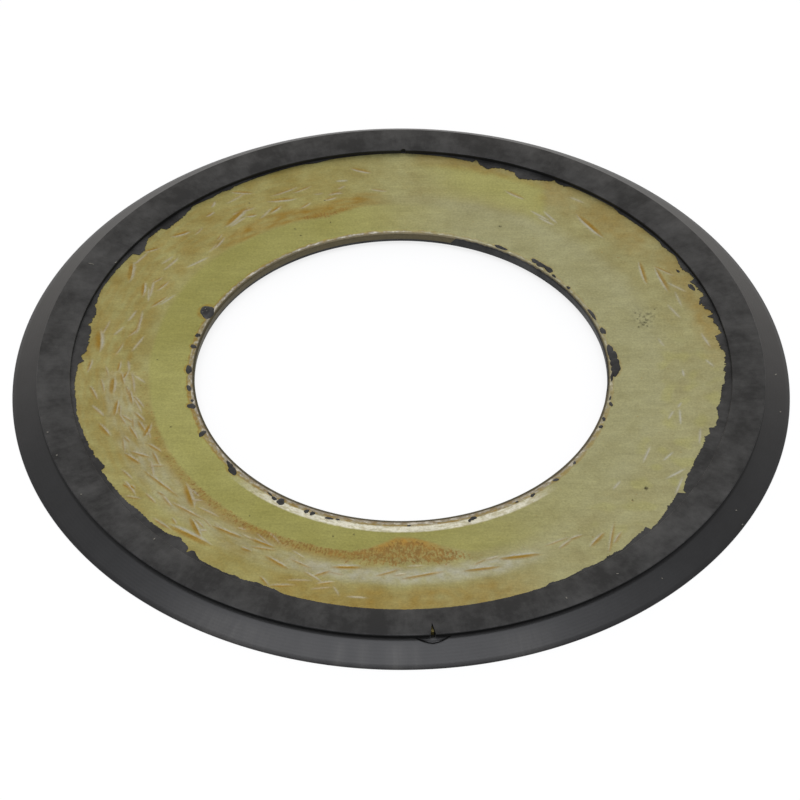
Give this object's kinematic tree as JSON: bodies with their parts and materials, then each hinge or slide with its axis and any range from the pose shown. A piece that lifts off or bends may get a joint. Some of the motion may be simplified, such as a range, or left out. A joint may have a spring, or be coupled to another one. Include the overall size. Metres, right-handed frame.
{
  "type": "sealing ring",
  "caption": "Flat steel sealing ring with a moulded rubber band bonded round its rim and a thin conical outer lip.",
  "frame": {"origin": "on the bore axis, in the plane of the lip's edge", "axes": "+Z along the bore axis, out of the steel face that carries the raised rubber band"},
  "size_m": [0.113, 0.113, 0.0031],
  "materials": {
    "steel": "zinc plated and yellow passivated, satin",
    "rubber": "moulded, satin black"
  },
  "bodies": {
    "root": {"steel_plate": "steel", "rubber_ring": "rubber"}
  },
  "joints": []
}
